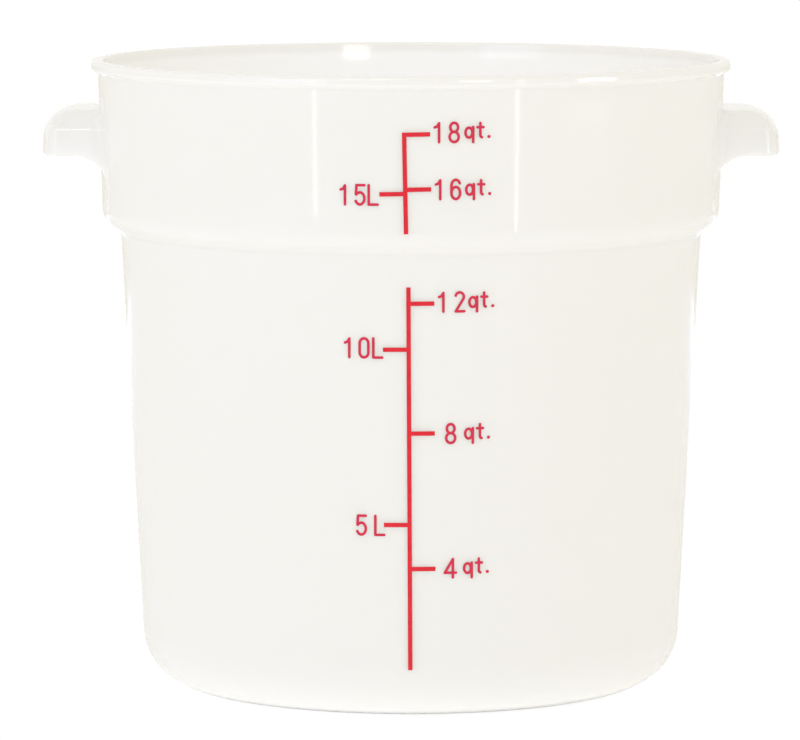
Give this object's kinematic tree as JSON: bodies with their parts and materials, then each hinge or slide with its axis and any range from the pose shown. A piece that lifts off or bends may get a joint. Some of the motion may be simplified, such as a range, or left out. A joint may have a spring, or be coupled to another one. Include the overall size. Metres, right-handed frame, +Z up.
{
  "type": "dough proofing container",
  "caption": "Round milky tub for proofing dough, with a stepped collar, two hollow side handles and a printed measuring scale.",
  "frame": {"origin": "on the tub's axis, at the level of the foot ring that it stands on", "axes": "+Z up along the tub's axis, +X through one handle, -Y towards the measuring scale"},
  "size_m": [0.366, 0.3174, 0.312],
  "materials": {
    "milky_polypropylene": "translucent white, smooth satin",
    "red_ink": "printed red"
  },
  "bodies": {
    "root": {"tub": "milky_polypropylene", "wall_scale": "red_ink", "collar_scale": "red_ink"}
  },
  "joints": []
}
